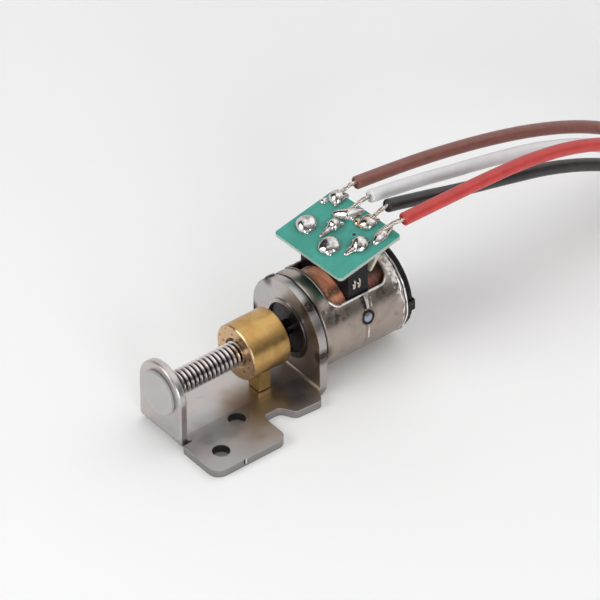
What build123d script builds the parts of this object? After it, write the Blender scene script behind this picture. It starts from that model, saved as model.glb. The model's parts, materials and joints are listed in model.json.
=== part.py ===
"""Micro stepper motor, 8 mm across, with a lead screw, a brass slider nut and a bent sheet bracket.

Millimetres. The screw runs along Y, from the bracket's ear (-Y) to the motor (+Y), and +Z is up from
the mounting face. The origin is on the mounting face, under the screw, halfway along the bracket.
"""

import os
from math import cos, pi, radians, sin, tan

from build123d import *

os.makedirs("parts", exist_ok=True)

# Bracket, bent from one sheet
AXIS_H = 4.2  # height of the screw's axis over the mounting face
SHEET = 0.7
BRACKET_HALF = 6.4  # outer face of the ear, and back face of the flange, from the origin
EAR_R = 2.55
FLANGE_R = 4.05
BEND_INNER = 0.2
TAB_X = 6.87  # right edge of the mounting tab
MOUNT_HOLES = [(5.0, -4.5), (2.8, -1.3)]
MOUNT_HOLE_R = 0.7
RIM_R = 2.4  # rim pressed up round the flange's hole
RIM_H = 0.1
DIE_ROLL = 0.18  # rounding that the punch leaves on the uprights' outer edges

# Lead screw, M2 x 0.4
SCREW_R = 1.0
SCREW_CORE_R = 0.77
PITCH = 0.4
THREAD_FROM = -5.25
THREAD_TO = 5.25
JOURNAL_R = 0.5
SHAFT_R = 0.6
SHAFT_END = 14.05
RUNNING = 0.03  # radial clearance of a running fit

# Slider nut
NUT_R = 2.3
NUT_FROM = 0.82
NUT_TO = 4.38
LEG_X = (0.15, 1.5)
LEG_Y = (1.85, 3.0)
LEG_GAP = 0.08  # between the leg's foot and the bracket's floor

# Motor can: two drawn cups that meet at the seam
CAN_R = 4.0
CAN_WALL = 0.35
CAN_FROM = BRACKET_HALF
CAN_TO = 14.3
SEAM = (CAN_FROM + CAN_TO) / 2
WINDOW_Y = (7.7, 13.2)
WINDOW_HALF_X = 3.06
WINDOW_CORNER = 0.8

# Stator and rotor
POLES = 5  # claws on each plate
CLAW_IN = 1.65
CLAW_OUT = 1.93
CLAW_ROOT = 1.15
CLAW_TIP = 0.55
CLAW_LENGTH = 2.75
YOKE = 0.3
SPOOL_IN = 1.97
SPOOL_WALL = 0.23
SPOOL_R = 3.5
SPOOL_FLANGE = 0.25
COIL_R = 3.42
MAGNET_R = 1.5
MAGNET_FROM = 7.45
MAGNET_TO = 13.25
SLEEVE_R = 0.95
BEARING_R = 2.1
BUSH_R = 1.5
BUSH_HEAD_R = 1.85

# Terminal block and circuit board
BLOCK_HALF_X = 2.9
BLOCK_REACH = 0.93  # each half's length along the motor, from the seam
PIN_R = 0.2
PIN_X = (-2.3, 0.7)  # on the front half; the rear half is the same part turned round
PIN_Y = 0.68  # each row's distance from the seam
BOARD = (7.54, 6.22, 0.3)
BOARD_CENTRE = (0.14, 10.59, 10.83)
BOARD_YAW = 3.1
BOARD_PITCH = 8.4

# Leads, in the order brown, white, black, red
WIRE_R = 0.525
CORE_R = 0.17
TIP_LENGTH = 3.0

AXLE = Axis((0, 0, AXIS_H), (0, 1, 0))
PROFILE = Plane(origin=(0, 0, AXIS_H), x_dir=(0, 1, 0), z_dir=(1, 0, 0))  # (along the axis, radius)
BOARD_TOP = Plane(
    origin=BOARD_CENTRE,
    x_dir=(cos(radians(BOARD_YAW)), sin(radians(BOARD_YAW)), 0),
    z_dir=(
        sin(radians(BOARD_YAW)) * sin(radians(BOARD_PITCH)),
        -cos(radians(BOARD_YAW)) * sin(radians(BOARD_PITCH)),
        cos(radians(BOARD_PITCH)),
    ),
)
BOARD_UNDER = BOARD_TOP.offset(-BOARD[2])
FAR = 30


def across(y):
    """The plane across the axis at y: local (x, height over the axis), with its normal towards -Y."""
    return Plane(origin=(0, y, AXIS_H), x_dir=(1, 0, 0), z_dir=(0, -1, 0))


def turned(points):
    """A solid of revolution about the axis, from (along the axis, radius) corners."""
    with BuildPart() as solid:
        with BuildSketch(PROFILE):
            with BuildLine():
                Polyline(*points, close=True)
            make_face()
        revolve(axis=AXLE)
    return solid.part


def write(part, name):
    part.label = name
    export_step(part, f"parts/{name}.step")


# ---------------------------------------------------------------- bracket
BEND = SHEET + BEND_INNER  # outer radius of both bends
BASE_FRONT = -BRACKET_HALF + BEND
BASE_BACK = BRACKET_HALF - BEND
RELIEF = 0.22  # slot between the ear's bend and the tab
BASE_OUTLINE = [  # x, y, corner radius
    (-EAR_R, BASE_FRONT, 0.02),
    (EAR_R + RELIEF, BASE_FRONT, 0.1),
    (EAR_R + RELIEF, -BRACKET_HALF, 0.1),
    (TAB_X, -BRACKET_HALF, 0.95),
    (TAB_X, 0.4, 0.8),
    (3.8, 0.4, 0.4),
    (3.8, 2.0, 0.6),
    (5.0, 2.7, 0.5),
    (5.15, 5.0, 0.5),
    (FLANGE_R + 0.2, BASE_BACK, 0.2),
    (-FLANGE_R, BASE_BACK, 0.02),
    (-FLANGE_R, 2.9, 0.6),
    (-EAR_R, 2.2, 0.5),
]


def upright(outer_y, radius):
    """The sheet bent up at outer_y, with a round top concentric with the screw."""
    inward = 1 if outer_y < 0 else -1
    with BuildPart() as wall:
        with BuildSketch(Plane.YZ):
            with BuildLine():
                FilletPolyline(
                    (outer_y + inward * (BEND + 0.3), 0),
                    (outer_y, 0),
                    (outer_y, AXIS_H + radius + 1),
                    (outer_y + inward * SHEET, AXIS_H + radius + 1),
                    (outer_y + inward * SHEET, SHEET),
                    (outer_y + inward * (BEND + 0.3), SHEET),
                    radius=[0.01, BEND, 0.01, 0.01, BEND_INNER, 0.01],
                    close=True,
                )
            make_face()
        extrude(amount=radius, both=True)
        with BuildSketch(across(-FAR / 2)):
            Circle(radius)
            with Locations((0, -AXIS_H)):
                Rectangle(2 * radius, 2 * AXIS_H)
        extrude(amount=-FAR, mode=Mode.INTERSECT)
        outer = wall.faces().sort_by(Axis.Y)[0 if outer_y < 0 else -1]
        if outer_y < 0:
            fillet(outer.edges().filter_by(lambda e: (e @ 0.5).Z > BEND + 0.01), DIE_ROLL)
    return wall.part


with BuildPart() as bracket:
    with BuildSketch(Plane.XY):
        with BuildLine():
            FilletPolyline(
                *[(x, y) for x, y, _ in BASE_OUTLINE], radius=[r for _, _, r in BASE_OUTLINE], close=True
            )
        make_face()
        with Locations(*MOUNT_HOLES):
            Circle(MOUNT_HOLE_R, mode=Mode.SUBTRACT)
    extrude(amount=SHEET)
    add(upright(-BRACKET_HALF, EAR_R))
    add(upright(BRACKET_HALF, FLANGE_R))
    with BuildSketch(across(BRACKET_HALF - SHEET)):
        Circle(RIM_R)
    extrude(amount=RIM_H)
    with BuildSketch(across(-BRACKET_HALF)):
        Circle(BUSH_R)
    extrude(amount=-SHEET, mode=Mode.SUBTRACT)
    with BuildSketch(across(BRACKET_HALF - SHEET - RIM_H)):
        Circle(BEARING_R)
    extrude(amount=-SHEET - RIM_H, mode=Mode.SUBTRACT)
write(bracket.part, "bracket")

# ---------------------------------------------------------------- screw's front pivot
BUSH_HEAD = 0.45
BUSH_TAIL = 0.2
CROWN = 0.18  # bevel round the head's face
BUSH_FRONT = -BRACKET_HALF - BUSH_HEAD
BUSH_BACK = -BRACKET_HALF + SHEET + BUSH_TAIL
JOURNAL_TIP = -BRACKET_HALF - 0.05

with BuildPart() as pivot_bush:
    add(
        turned(
            [
                (BUSH_FRONT, 0),
                (BUSH_FRONT, BUSH_HEAD_R - CROWN),
                (BUSH_FRONT + CROWN, BUSH_HEAD_R),
                (-BRACKET_HALF, BUSH_HEAD_R),
                (-BRACKET_HALF, BUSH_R),
                (BUSH_BACK, BUSH_R),
                (BUSH_BACK, JOURNAL_R + RUNNING),
                (JOURNAL_TIP - 0.05, JOURNAL_R + RUNNING),
                (JOURNAL_TIP - 0.05, 0),
            ]
        )
    )
write(pivot_bush.part, "pivot_bush")

# ---------------------------------------------------------------- rotor
THREAD_FOOT = 0.185  # half of the ridge's width at its root
THREAD_LAND = 0.035  # and at its crest
THREAD_SINK = 0.04  # how far the ridge's root reaches into the core


def thread_ridge():
    """The thread's ridge as a helix about Z that starts at the origin's height."""
    crest = SCREW_R - SCREW_CORE_R
    with BuildPart() as ridge:
        with BuildLine():
            Helix(pitch=PITCH, height=THREAD_TO - THREAD_FROM - PITCH, radius=SCREW_CORE_R)
        with BuildSketch(Plane(origin=(SCREW_CORE_R, 0, 0), x_dir=(1, 0, 0), z_dir=(0, 1, 0))):
            with BuildLine():
                Polyline(
                    (-THREAD_SINK, -THREAD_FOOT),
                    (crest, -THREAD_LAND),
                    (crest, THREAD_LAND),
                    (-THREAD_SINK, THREAD_FOOT),
                    close=True,
                )
            make_face()
        sweep(is_frenet=True)
    return ridge.part


with BuildPart() as lead_screw:
    with BuildSketch(PROFILE):
        with BuildLine():
            Polyline(
                (JOURNAL_TIP, 0),
                (JOURNAL_TIP, JOURNAL_R - 0.08),
                (JOURNAL_TIP + 0.08, JOURNAL_R),
                (THREAD_FROM - 0.1, JOURNAL_R),
                (THREAD_FROM - 0.1, SCREW_CORE_R),
                (THREAD_TO + 0.1, SCREW_CORE_R),
                (THREAD_TO + 0.2, SHAFT_R),
                (SHAFT_END, SHAFT_R),
                (SHAFT_END, 0),
                close=True,
            )
        make_face()
    revolve(axis=AXLE)
    add(Location((0, THREAD_FROM + PITCH / 2, AXIS_H)) * Rotation(-90, 0, 0) * thread_ridge())
write(lead_screw.part, "lead_screw")

write(
    turned(
        [
            (MAGNET_FROM - 0.1, SHAFT_R),
            (MAGNET_FROM - 0.1, SLEEVE_R),
            (MAGNET_TO + 0.1, SLEEVE_R),
            (MAGNET_TO + 0.1, SHAFT_R),
        ]
    ),
    "rotor_sleeve",
)

with BuildPart() as rotor_magnet:
    add(turned([(MAGNET_FROM, SLEEVE_R), (MAGNET_FROM, MAGNET_R), (MAGNET_TO, MAGNET_R), (MAGNET_TO, SLEEVE_R)]))
    chamfer(rotor_magnet.edges().filter_by(GeomType.CIRCLE).sort_by(lambda e: e.radius)[-2:], 0.08)
write(rotor_magnet.part, "rotor_magnet")

# ---------------------------------------------------------------- slider nut
LEAD_IN = 0.22
with BuildPart() as slider_nut:
    with BuildSketch(across(NUT_FROM)):
        Circle(NUT_R)
    extrude(amount=NUT_FROM - NUT_TO)
    chamfer(slider_nut.edges().filter_by(GeomType.CIRCLE), 0.1)
    foot = SHEET + LEG_GAP
    with BuildSketch(Plane.XY.offset(foot)):
        with Locations(((LEG_X[0] + LEG_X[1]) / 2, (LEG_Y[0] + LEG_Y[1]) / 2)):
            RectangleRounded(LEG_X[1] - LEG_X[0], LEG_Y[1] - LEG_Y[0], 0.08)
    extrude(amount=AXIS_H - foot - 1.6)
    bore = SCREW_R + RUNNING
    add(
        turned(
            [
                (NUT_FROM, 0),
                (NUT_FROM, bore + LEAD_IN),
                (NUT_FROM + LEAD_IN, bore),
                (NUT_TO - LEAD_IN, bore),
                (NUT_TO, bore + LEAD_IN),
                (NUT_TO, 0),
            ]
        ),
        mode=Mode.SUBTRACT,
    )
write(slider_nut.part, "slider_nut")


# ---------------------------------------------------------------- stator
def claw_crown(root_y, tip_y, phase):
    """POLES tapered claws on a ring, from a plate at root_y to their tips at tip_y."""
    with BuildPart() as crown:
        for k in range(POLES):
            angle = radians(phase + 360 * k / POLES)
            tangent = (cos(angle), 0, -sin(angle))
            outward = (sin(angle), 0, cos(angle))
            with BuildSketch(Plane(origin=(0, root_y, AXIS_H), x_dir=tangent, z_dir=outward)):
                with BuildLine():
                    Polyline(
                        (-CLAW_ROOT / 2, 0),
                        (-CLAW_TIP / 2, tip_y - root_y),
                        (CLAW_TIP / 2, tip_y - root_y),
                        (CLAW_ROOT / 2, 0),
                        close=True,
                    )
                make_face()
            extrude(amount=CLAW_OUT + 1)
        low, high = min(root_y, tip_y), max(root_y, tip_y)
        add(
            turned([(low, CLAW_IN), (low, CLAW_OUT), (high, CLAW_OUT), (high, CLAW_IN)]),
            mode=Mode.INTERSECT,
        )
    return crown.part


def stator_cup(end_y, phase):
    """A drawn cup that is open at the seam, with its claws inside and its share of the window."""
    inward = 1 if end_y < SEAM else -1
    plate = end_y + inward * CAN_WALL
    edge = 0.08
    with BuildPart() as cup:
        add(
            turned(
                [
                    (end_y, CLAW_IN),
                    (end_y, CAN_R - 0.25),
                    (end_y + inward * 0.25, CAN_R),
                    (SEAM - inward * edge, CAN_R),
                    (SEAM, CAN_R - edge),
                    (SEAM, CAN_R - CAN_WALL),
                    (plate, CAN_R - CAN_WALL),
                    (plate, CLAW_IN),
                ]
            )
        )
        with BuildSketch(Plane.XY.offset(AXIS_H)):
            with Locations((0, (WINDOW_Y[0] + WINDOW_Y[1]) / 2)):
                RectangleRounded(2 * WINDOW_HALF_X, WINDOW_Y[1] - WINDOW_Y[0], WINDOW_CORNER)
        extrude(amount=2 * CAN_R, mode=Mode.SUBTRACT)
        add(claw_crown(plate, plate + inward * CLAW_LENGTH, phase))
    return cup.part


def inner_yoke(inward, phase):
    """A flat plate against the seam whose claws point at the cup's end, notched under the terminals."""
    back = SEAM + inward * YOKE
    with BuildPart() as yoke:
        add(
            turned(
                [
                    (SEAM, CLAW_IN),
                    (SEAM, CAN_R - CAN_WALL - 0.02),
                    (back, CAN_R - CAN_WALL - 0.02),
                    (back, CLAW_IN),
                ]
            )
        )
        with BuildSketch(across(SEAM)):
            with Locations((0, CAN_R)):
                Rectangle(2 * BLOCK_HALF_X + 0.2, 2 * CAN_R)
            Circle(COIL_R, mode=Mode.SUBTRACT)
        extrude(amount=-inward * YOKE, mode=Mode.SUBTRACT)
        add(claw_crown(back, back + inward * CLAW_LENGTH, phase))
    return yoke.part


def terminal_half(inward):
    """Half of the terminal block: it stands on the coils from the seam and ends under the board."""
    with BuildPart() as block:
        with BuildSketch(Plane.XY.offset(AXIS_H)):
            with Locations((0, SEAM + inward * BLOCK_REACH / 2)):
                Rectangle(2 * BLOCK_HALF_X, BLOCK_REACH)
        extrude(amount=2 * CAN_R)
        low, high = sorted((SEAM, SEAM + inward * BLOCK_REACH))
        clear = COIL_R + 0.05
        add(turned([(low, 0), (low, clear), (high, clear), (high, 0)]), mode=Mode.SUBTRACT)
        split(bisect_by=BOARD_UNDER, keep=Keep.BOTTOM)
    return block.part


def bobbin(inward):
    """A moulded spool with half of the terminal block on its flange at the seam."""
    plate = (CAN_FROM if inward < 0 else CAN_TO) - inward * CAN_WALL
    back = SEAM + inward * YOKE
    wall = SPOOL_IN + SPOOL_WALL
    with BuildPart() as spool:
        add(
            turned(
                [
                    (back, SPOOL_IN),
                    (back, SPOOL_R),
                    (back + inward * SPOOL_FLANGE, SPOOL_R),
                    (back + inward * SPOOL_FLANGE, wall),
                    (plate - inward * SPOOL_FLANGE, wall),
                    (plate - inward * SPOOL_FLANGE, SPOOL_R),
                    (plate, SPOOL_R),
                    (plate, SPOOL_IN),
                ]
            )
        )
        add(terminal_half(inward))
        for x in PIN_X:
            with BuildSketch(Plane.XY.offset(AXIS_H + COIL_R + 1)):
                with Locations((-inward * x, SEAM + inward * PIN_Y)):
                    Circle(PIN_R)
            extrude(amount=FAR, mode=Mode.SUBTRACT)
    return spool.part


def coil(inward):
    """Enamelled wire wound between the spool's flanges, a little rounded at its outer edges."""
    plate = (CAN_FROM if inward < 0 else CAN_TO) - inward * CAN_WALL
    ends = sorted((SEAM + inward * (YOKE + SPOOL_FLANGE), plate - inward * SPOOL_FLANGE))
    inside = SPOOL_IN + SPOOL_WALL
    with BuildPart() as winding:
        add(turned([(ends[0], inside), (ends[0], COIL_R), (ends[1], COIL_R), (ends[1], inside)]))
        fillet(winding.edges().filter_by(GeomType.CIRCLE).sort_by(lambda e: e.radius)[-2:], 0.15)
    return winding.part


write(stator_cup(CAN_FROM, 0), "front_stator_cup")
write(stator_cup(CAN_TO, 18), "rear_stator_cup")
write(inner_yoke(-1, 36), "front_inner_yoke")
write(inner_yoke(1, 54), "rear_inner_yoke")
write(bobbin(-1), "front_bobbin")
write(bobbin(1), "rear_bobbin")
write(coil(-1), "front_coil")
write(coil(1), "rear_coil")

# ---------------------------------------------------------------- bearings and rear cover
BEARING_FACE = 5.85
BEARING_NOSE_R = 1.55
BEARING_BACK = 7.15
write(
    turned(
        [
            (BEARING_FACE, SHAFT_R + RUNNING),
            (BEARING_FACE, BEARING_R),
            (BRACKET_HALF, BEARING_R),
            (BRACKET_HALF, BEARING_NOSE_R),
            (BEARING_BACK, BEARING_NOSE_R),
            (BEARING_BACK, SHAFT_R + RUNNING),
        ]
    ),
    "front_bearing",
)
write(
    turned(
        [
            (BEARING_BACK + 0.02, SHAFT_R + RUNNING),
            (BEARING_BACK + 0.02, 1.2),
            (BEARING_BACK + 0.14, 1.2),
            (BEARING_BACK + 0.14, SHAFT_R + RUNNING),
        ]
    ),
    "thrust_washer",
)

COVER = 0.6
COVER_R = 3.9
BOSS_R = 1.6
BOSS_FROM = 13.45
SOCKET_R = 0.95
BALL_R = 0.35
BALL_Y = SHAFT_END + 0.02 + BALL_R
with BuildPart() as rear_cover:
    add(
        turned(
            [
                (CAN_TO, BOSS_R),
                (CAN_TO, COVER_R),
                (CAN_TO + COVER - 0.15, COVER_R),
                (CAN_TO + COVER, COVER_R - 0.15),
                (CAN_TO + COVER, 0),
                (BALL_Y + BALL_R + 0.01, 0),
                (BALL_Y + BALL_R + 0.01, BALL_R + 0.01),
                (CAN_TO - 0.2, BALL_R + 0.01),
                (CAN_TO - 0.2, SOCKET_R),
                (BOSS_FROM, SOCKET_R),
                (BOSS_FROM, BOSS_R),
            ]
        )
    )
write(rear_cover.part, "rear_cover")
write(
    turned(
        [
            (BOSS_FROM + 0.05, SHAFT_R + RUNNING),
            (BOSS_FROM + 0.05, SOCKET_R),
            (CAN_TO - 0.2, SOCKET_R),
            (CAN_TO - 0.2, SHAFT_R + RUNNING),
        ]
    ),
    "rear_bearing",
)
with BuildPart() as thrust_ball:
    with Locations((0, BALL_Y, AXIS_H)):
        Sphere(BALL_R)
write(thrust_ball.part, "thrust_ball")

# Two tabs of the rear cup bent over the cover's edge
CRIMP_WIDTH = 0.9
CRIMP_SHEET = 0.1
with BuildPart() as crimp_tabs:
    for side in (-1, 1):
        with BuildSketch(Plane.XY.offset(AXIS_H - CRIMP_WIDTH / 2)):
            with BuildLine():
                Polyline(
                    (side * (COVER_R + 0.02), CAN_TO),
                    (side * (COVER_R + 0.02 + CRIMP_SHEET), CAN_TO),
                    (side * (COVER_R + 0.02 + CRIMP_SHEET), CAN_TO + COVER + 0.05),
                    (side * (COVER_R - 0.04), CAN_TO + COVER + 0.01 + CRIMP_SHEET),
                    (side * (COVER_R - 0.45), CAN_TO + COVER + 0.01 + CRIMP_SHEET),
                    (side * (COVER_R - 0.45), CAN_TO + COVER + 0.01),
                    (side * (COVER_R + 0.02), CAN_TO + COVER + 0.01),
                    close=True,
                )
            make_face()
        extrude(amount=CRIMP_WIDTH)
write(crimp_tabs.part, "crimp_tabs")

# ---------------------------------------------------------------- terminals and circuit board
PINS = [(-inward * x, SEAM + inward * PIN_Y) for inward in (-1, 1) for x in PIN_X]

with BuildPart() as terminal_pins:
    with BuildSketch(Plane.XY.offset(AXIS_H + COIL_R + 1)):
        with Locations(*PINS):
            Circle(PIN_R)
    extrude(amount=FAR)
    split(bisect_by=BOARD_TOP, keep=Keep.BOTTOM)
write(terminal_pins.part, "terminal_pins")

with BuildPart() as circuit_board:
    with BuildSketch(BOARD_TOP):
        RectangleRounded(BOARD[0], BOARD[1], 0.3)
    extrude(amount=-BOARD[2])
    with BuildSketch(Plane.XY.offset(AXIS_H + COIL_R + 1)):
        with Locations(*PINS):
            Circle(PIN_R + 0.06)
    extrude(amount=FAR, mode=Mode.SUBTRACT)
write(circuit_board.part, "circuit_board")


def dome(x, y, length, width, turn, height=0.28):
    """A flat bead of solder on the board, at local x and y, with its long side turned from local x."""
    with BuildPart() as bead:
        with BuildSketch(BOARD_TOP):
            with Locations(Location((x, y, 0), (0, 0, turn))):
                Ellipse(length / 2, width / 2)
        with BuildSketch(BOARD_TOP.offset(height)):
            with Locations(Location((x, y, 0), (0, 0, turn))):
                Ellipse(length / 4, width / 4)
        loft()
    return bead.part


PIN_BEADS = [(-2.28, 9.4), (0.72, 9.36), (2.33, 11.2), (-0.68, 11.15)]  # x and y, off the pins' centres
with BuildPart() as pin_solder:
    for x, y in PIN_BEADS:
        at = BOARD_TOP.to_local_coords(Vector(x, y, BOARD_CENTRE[2]))
        add(dome(at.X, at.Y, 1.5, 1.5, 0, 0.4))
write(pin_solder.part, "pin_solder")

# ---------------------------------------------------------------- leads
PADS = {  # local x and y on the board, length and width of the solder, turn
    "brown": (-2.86, 2.2, 1.2, 0.9, 90),
    "white": (-1.1, 2.1, 1.7, 1.1, 20),
    "black": (0.8, 2.1, 1.5, 1.1, 40),
    "red": (2.74, 2.1, 1.7, 1.0, 90),
}
FLOOR = 0.55
ROUTES = {
    "brown": [
        (-2.45, 14.5, 12.2),
        (-2.42, 18.2, 11.78),
        (-2.36, 22.4, 11.15),
        (-2.28, 27.0, 10.2),
        (-2.22, 31.4, 8.95),
        (-2.25, 35.8, 7.15),
        (-2.35, 39.8, 4.8),
        (-2.5, 43.7, 2.2),
        (-2.65, 47.9, 0.7),
        (-2.6, 52.4, FLOOR),
        (-2.3, 57.0, FLOOR),
        (-2.15, 61.8, FLOOR),
        (-2.5, 66.4, FLOOR),
        (-3.1, 70.6, FLOOR),
    ],
    "white": [
        (-0.5, 14.3, 12.2),
        (-0.52, 17.8, 11.62),
        (-0.56, 22.0, 10.62),
        (-0.6, 26.4, 9.66),
        (-0.62, 30.8, 8.5),
        (-0.6, 35.1, 6.75),
        (-0.52, 39.2, 4.35),
        (-0.45, 43.2, 1.9),
        (-0.5, 47.4, 0.65),
        (-0.7, 52.0, FLOOR),
        (-0.8, 56.8, FLOOR),
        (-0.6, 61.6, FLOOR),
        (-0.5, 66.2, FLOOR),
        (-0.8, 70.4, FLOOR),
    ],
    "black": [
        (1.33, 14.5, 12.35),
        (1.36, 17.7, 11.5),
        (1.4, 21.6, 10.35),
        (1.47, 25.8, 9.35),
        (1.5, 30.2, 8.2),
        (1.5, 34.4, 6.45),
        (1.4, 38.4, 4.1),
        (1.25, 42.4, 1.8),
        (1.2, 46.6, 0.65),
        (1.3, 51.2, FLOOR),
        (1.35, 56.0, FLOOR),
        (1.15, 60.8, FLOOR),
        (1.1, 65.4, FLOOR),
        (1.5, 69.6, FLOOR),
    ],
    "red": [
        (3.18, 14.6, 12.15),
        (3.1, 18.2, 12.0),
        (2.9, 22.6, 11.7),
        (2.65, 27.2, 11.2),
        (2.6, 31.8, 10.2),
        (2.75, 36.2, 8.35),
        (3.0, 40.2, 5.8),
        (3.15, 43.9, 2.9),
        (3.1, 47.9, 0.9),
        (2.9, 52.4, FLOOR),
        (2.95, 57.2, FLOOR),
        (3.3, 61.9, FLOOR),
        (3.4, 66.4, FLOOR),
        (3.1, 70.5, FLOOR),
    ],
}


def bend_radii(points):
    """The radius at each corner: 0.45 of the shorter run, divided by the tangent of half the turn."""
    runs = [Vector(*b) - Vector(*a) for a, b in zip(points, points[1:])]
    return [
        0.45 * min(a.length, b.length) / tan(radians(a.get_angle(b)) / 2) for a, b in zip(runs, runs[1:])
    ]


def tube(points, radii, radius):
    """A round tube along straight runs and tangent arcs."""
    with BuildPart() as solid:
        with BuildLine() as path:
            FilletPolyline(*points, radius=radii)
        with BuildSketch(Plane(origin=points[0], z_dir=Vector(*points[1]) - Vector(*points[0]))):
            Circle(radius)
        sweep(path=path.wires()[0])
    length = path.wires()[0].length
    section = pi * radius**2
    print(f"  length {length:.2f}, volume over section x length {solid.part.volume / section / length:.4f}")
    return solid.part


with BuildPart() as lead_solder:
    for pad in PADS.values():
        add(dome(*pad))

cores = []
for colour, points in ROUTES.items():
    radii = bend_radii(points)
    print(f"{colour} lead: smallest radius {min(radii):.1f}, radii {[round(r, 1) for r in radii]}")
    lead = tube(points, radii, WIRE_R)
    write(lead, f"{colour}_lead")

    start = Vector(*points[0])
    run = (Vector(*points[1]) - start).normalized()
    pad = BOARD_TOP.from_local_coords(Vector(*PADS[colour][:2], 0.2))
    stub = [tuple(pad), tuple(start - run * 0.6), tuple(start)]
    bend = bend_radii(stub)
    core = tube(stub, bend, CORE_R)
    cores.append(core - lead_solder.part)

    end = Vector(*points[-1])
    onward = (end - Vector(*points[-2])).normalized()
    with BuildPart() as lead_tip:
        with BuildSketch(Plane(origin=end, z_dir=onward)):
            Circle(CORE_R)
        extrude(amount=TIP_LENGTH)
    write(lead_tip.part, f"{colour}_lead_tip")

write(lead_solder.part, "lead_solder")
write(Compound(children=[s for core in cores for s in core.solids()]), "lead_cores")
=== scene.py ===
"""The looks of the micro stepper motor, round its CAD frame.

Shapes are worked out in millimetres in the frame's own axes: the screw runs along Y from the bracket's
ear to the motor, and Z is up from the mounting face. Objects are made in metres.
"""

import json
from math import atan2, ceil, cos, degrees, hypot, pi, radians, sin, sqrt, tau

import bpy
from mathutils import Matrix, Vector, noise


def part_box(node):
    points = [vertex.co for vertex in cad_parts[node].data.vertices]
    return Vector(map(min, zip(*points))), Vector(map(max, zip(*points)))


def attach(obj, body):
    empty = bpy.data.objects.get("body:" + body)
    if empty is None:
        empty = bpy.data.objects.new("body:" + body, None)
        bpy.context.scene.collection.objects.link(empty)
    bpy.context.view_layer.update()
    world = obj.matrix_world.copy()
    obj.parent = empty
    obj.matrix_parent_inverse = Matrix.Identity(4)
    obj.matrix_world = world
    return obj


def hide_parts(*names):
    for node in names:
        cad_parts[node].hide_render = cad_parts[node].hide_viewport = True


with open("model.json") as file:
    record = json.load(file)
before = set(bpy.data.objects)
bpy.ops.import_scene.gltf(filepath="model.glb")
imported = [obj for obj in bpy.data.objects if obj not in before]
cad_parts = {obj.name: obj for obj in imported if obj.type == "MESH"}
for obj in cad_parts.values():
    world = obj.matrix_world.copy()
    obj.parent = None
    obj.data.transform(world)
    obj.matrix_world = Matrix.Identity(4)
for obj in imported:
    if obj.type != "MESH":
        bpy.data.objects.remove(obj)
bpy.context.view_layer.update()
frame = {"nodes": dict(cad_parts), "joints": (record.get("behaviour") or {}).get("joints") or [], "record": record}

MM = 0.001
JOINTS = {joint["name"]: joint for joint in frame["joints"]}
AXIS_Z = JOINTS["screw_spin"]["pos_m"][2] / MM


def span(node):
    """Lowest and highest corner of a CAD node, in millimetres."""
    low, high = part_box(node)
    return low / MM, high / MM


# ---------------------------------------------------------------- camera
AZIMUTH, ELEVATION, ROLL = radians(52.303), radians(39.524), radians(-0.847)
DISTANCE = 679.7
TARGET = Vector((0.574, 6.596, 6.739))
SENSOR, FOCAL_LENGTH = 36, 541.06


def add_camera():
    """A long lens at the viewing angle, a little rolled."""
    back = Vector((sin(AZIMUTH) * cos(ELEVATION), -cos(AZIMUTH) * cos(ELEVATION), sin(ELEVATION)))
    level = Vector((cos(AZIMUTH), sin(AZIMUTH), 0))
    upright = back.cross(level)
    right = cos(ROLL) * level + sin(ROLL) * upright
    up = cos(ROLL) * upright - sin(ROLL) * level
    data = bpy.data.cameras.new("camera")
    data.sensor_width = SENSOR
    data.lens = FOCAL_LENGTH
    data.clip_start, data.clip_end = 0.01, 20
    camera = bpy.data.objects.new("camera", data)
    bpy.context.scene.collection.objects.link(camera)
    turn = Matrix((right, up, back)).transposed().to_4x4()
    camera.matrix_world = Matrix.Translation((TARGET + back * DISTANCE) * MM) @ turn
    bpy.context.scene.camera = camera


add_camera()


# ---------------------------------------------------------------- places
CAN_R = 4.0
SEAM_Y = span("front_stator_cup")[1].y
CAN_FRONT = span("front_stator_cup")[0].y
CAN_BACK = span("rear_stator_cup")[1].y
WINDOW_HALF, WINDOW_FRONT, WINDOW_BACK, WINDOW_CORNER = 3.06, 7.7, 13.2, 0.8
BLOCK_SIDE = 2.9  # the terminal block's side, from the axis
SHEET = 0.7  # the bracket's thickness
HOLES = [(5.0, -4.5), (2.8, -1.3)]
HOLE_R = 0.7

# The board is tilted; its top is half a thickness over the middle of its box
BOARD_YAW, BOARD_PITCH, BOARD_THICK = radians(3.1), radians(8.4), 0.3
BOARD_U = Vector((cos(BOARD_YAW), sin(BOARD_YAW), 0))
BOARD_N = Vector((sin(BOARD_YAW) * sin(BOARD_PITCH), -cos(BOARD_YAW) * sin(BOARD_PITCH), cos(BOARD_PITCH)))
BOARD_V = BOARD_N.cross(BOARD_U)
BOARD_TOP = (span("circuit_board")[0] + span("circuit_board")[1]) / 2 + BOARD_N * BOARD_THICK / 2


def on_board(u, v, height=0.0):
    """A point over the board's top, from its own two axes."""
    return BOARD_TOP + BOARD_U * u + BOARD_V * v + BOARD_N * height


def to_board(x, y):
    """The board's own coordinates of the point on its top over x, y."""
    z = BOARD_TOP.z - (BOARD_N.x * (x - BOARD_TOP.x) + BOARD_N.y * (y - BOARD_TOP.y)) / BOARD_N.z
    offset = Vector((x, y, z)) - BOARD_TOP
    return offset.dot(BOARD_U), offset.dot(BOARD_V)


def on_can(angle, y, radius=CAN_R):
    """A point at a number of degrees round the screw's axis from straight up, towards +X."""
    return Vector((radius * sin(radians(angle)), y, AXIS_Z + radius * cos(radians(angle))))


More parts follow.
